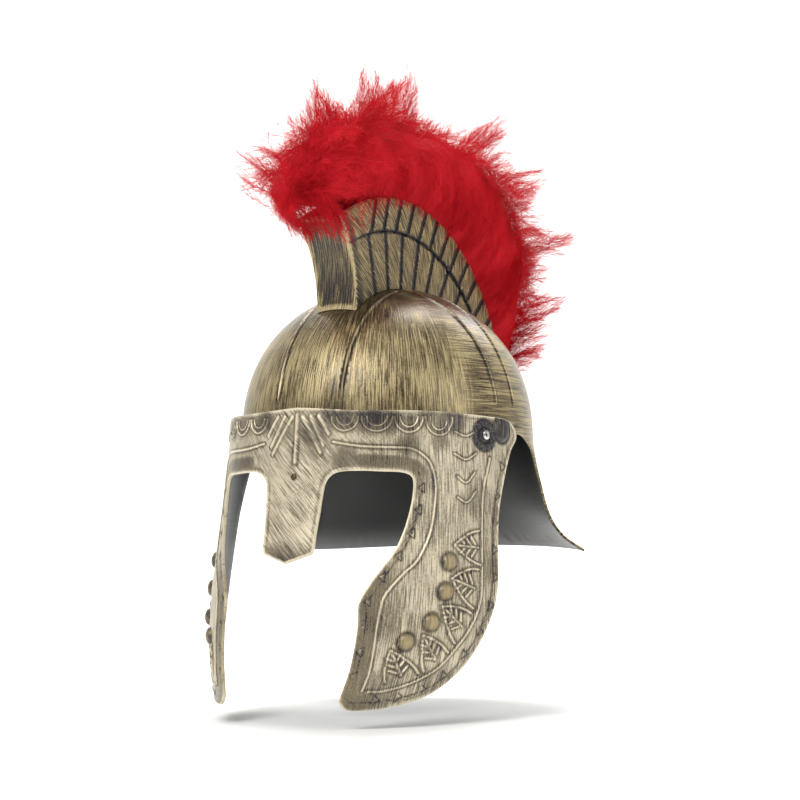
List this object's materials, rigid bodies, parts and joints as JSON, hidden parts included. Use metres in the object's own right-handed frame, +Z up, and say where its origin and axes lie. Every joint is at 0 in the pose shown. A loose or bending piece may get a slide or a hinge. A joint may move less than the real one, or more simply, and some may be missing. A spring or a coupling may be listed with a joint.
{
  "type": "roman legionary helmet",
  "caption": "Costume helmet with a domed skull, flared neck guard, fixed face plate with nasal and cheek guards, ribbed crest holder and red feather plume.",
  "frame": {"origin": "the head seat, the inner face of the crown where it rests on the top of the head", "axes": "+Z up, -Y the way the helmet faces, +X its wearer's left"},
  "size_m": [0.2376, 0.3304, 0.4368],
  "materials": {
    "skull": "moulded plastic sprayed antique bronze and dry-brushed, bare black inside",
    "face_plate": "moulded plastic in relief, dry-brushed pale bronze over dark grey",
    "crest_holder": "moulded plastic with dark grooves, dry-brushed bronze",
    "plume": "dyed red down feathers",
    "eyelets": "bright plated steel",
    "brow_rivet": "small round head, painted with the plate"
  },
  "bodies": {
    "root": {"skull": "skull", "face_plate": "face_plate", "crest_holder": "crest_holder", "plume": "plume", "temple_eyelet_left": "eyelets", "temple_eyelet_right": "eyelets", "brow_rivet": "brow_rivet"}
  },
  "joints": []
}
